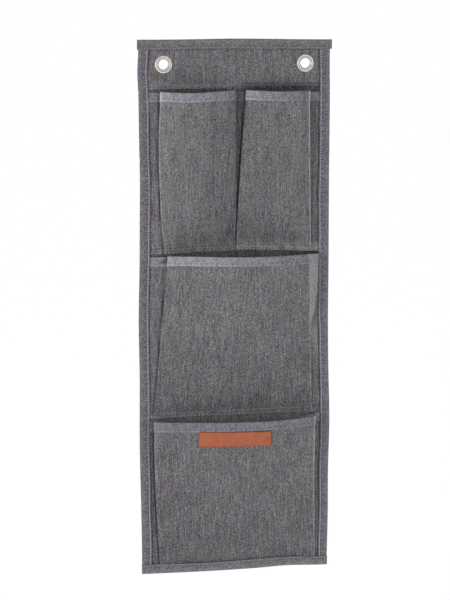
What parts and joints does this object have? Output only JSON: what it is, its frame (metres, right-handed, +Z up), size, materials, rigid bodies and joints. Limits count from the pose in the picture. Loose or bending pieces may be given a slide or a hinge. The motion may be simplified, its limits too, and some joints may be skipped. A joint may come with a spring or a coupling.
{
  "type": "hanging organizer",
  "caption": "Flat cloth wall organizer with taped edges, hanging eyelets and pleated pockets whose mouths open forward.",
  "frame": {"origin": "halfway between the centres of the two hanging eyelets, on the back face of the back panel", "axes": "+Z up the panel, -Y out of the pockets' side, +X to the right seen from the front"},
  "size_m": [0.254, 0.0412, 0.7],
  "materials": {
    "organizer_cloth": "dark grey melange plain weave with pale slubs, matt",
    "edge_tape": "grey ribbed binding tape, matt",
    "mouth_tape": "lighter grey twill tape, matt",
    "eyelet_metal": "nickel plated, bright",
    "label_leather": "orange brown leather, semi matt, plain",
    "sewing_thread": "light grey polyester thread"
  },
  "bodies": {
    "panel": {"back_panel": "organizer_cloth", "header_facing": "organizer_cloth", "edge_tape_left": "edge_tape", "edge_tape_right": "edge_tape", "edge_tape_top": "edge_tape", "edge_tape_bottom": "edge_tape", "eyelet_left": "eyelet_metal", "eyelet_right": "eyelet_metal", "eyelet_washer_left": "eyelet_metal", "eyelet_washer_right": "eyelet_metal", "lower_pocket_foot": "organizer_cloth", "middle_pocket_foot": "organizer_cloth", "upper_pocket_foot": "organizer_cloth", "seam_edge_left": "sewing_thread", "seam_edge_right": "sewing_thread", "seam_edge_top": "sewing_thread", "seam_edge_bottom": "sewing_thread", "seam_header": "sewing_thread", "seam_upper_foot": "sewing_thread", "seam_middle_foot": "sewing_thread", "seam_divider": "sewing_thread", "upper_left_pocket_pleat_left": "organizer_cloth", "upper_left_pocket_pleat_right": "organizer_cloth", "upper_left_pocket_pleat_tape_left": "mouth_tape", "upper_left_pocket_pleat_tape_right": "mouth_tape", "upper_right_pocket_pleat_left": "organizer_cloth", "upper_right_pocket_pleat_right": "organizer_cloth", "upper_right_pocket_pleat_tape_left": "mouth_tape", "upper_right_pocket_pleat_tape_right": "mouth_tape", "middle_pocket_pleat_left": "organizer_cloth", "middle_pocket_pleat_right": "organizer_cloth", "middle_pocket_pleat_tape_left": "mouth_tape", "middle_pocket_pleat_tape_right": "mouth_tape", "lower_pocket_pleat_left": "organizer_cloth", "lower_pocket_pleat_right": "organizer_cloth", "lower_pocket_pleat_tape_left": "mouth_tape", "lower_pocket_pleat_tape_right": "mouth_tape"},
    "upper_left_pocket": {"upper_left_pocket_front": "organizer_cloth", "upper_left_pocket_mouth_tape": "mouth_tape", "seam_upper_left_pocket_mouth": "sewing_thread"},
    "upper_right_pocket": {"upper_right_pocket_front": "organizer_cloth", "upper_right_pocket_mouth_tape": "mouth_tape", "seam_upper_right_pocket_mouth": "sewing_thread"},
    "middle_pocket": {"middle_pocket_front": "organizer_cloth", "middle_pocket_mouth_tape": "mouth_tape", "seam_middle_pocket_mouth": "sewing_thread"},
    "lower_pocket": {"lower_pocket_front": "organizer_cloth", "lower_pocket_mouth_tape": "mouth_tape", "seam_lower_pocket_mouth": "sewing_thread", "leather_label": "label_leather"}
  },
  "joints": [
    {"name": "upper_left_pocket_opening", "type": "hinge", "parent": "panel", "child": "upper_left_pocket", "pos_m": [-0.054, -0.00365, -0.2335], "axis": [1, 0, 0], "range_deg": [-5.1, 5.2], "stiffness_Nm_per_rad": 0.5, "deforming": ["upper_left_pocket_pleat_left", "upper_left_pocket_pleat_right", "upper_left_pocket_pleat_tape_left", "upper_left_pocket_pleat_tape_right"]},
    {"name": "upper_right_pocket_opening", "type": "hinge", "parent": "panel", "child": "upper_right_pocket", "pos_m": [0.054, -0.00365, -0.2335], "axis": [1, 0, 0], "range_deg": [-5.1, 5.2], "stiffness_Nm_per_rad": 0.5, "deforming": ["upper_right_pocket_pleat_left", "upper_right_pocket_pleat_right", "upper_right_pocket_pleat_tape_left", "upper_right_pocket_pleat_tape_right"]},
    {"name": "middle_pocket_opening", "type": "hinge", "parent": "panel", "child": "middle_pocket", "pos_m": [0, -0.00365, -0.45], "axis": [1, 0, 0], "range_deg": [-6.6, 5.3], "stiffness_Nm_per_rad": 0.8, "deforming": ["middle_pocket_pleat_left", "middle_pocket_pleat_right", "middle_pocket_pleat_tape_left", "middle_pocket_pleat_tape_right"]},
    {"name": "lower_pocket_opening", "type": "hinge", "parent": "panel", "child": "lower_pocket", "pos_m": [0, -0.00365, -0.6562], "axis": [1, 0, 0], "range_deg": [-6.4, 4.4], "stiffness_Nm_per_rad": 0.8, "deforming": ["lower_pocket_pleat_left", "lower_pocket_pleat_right", "lower_pocket_pleat_tape_left", "lower_pocket_pleat_tape_right"]}
  ]
}
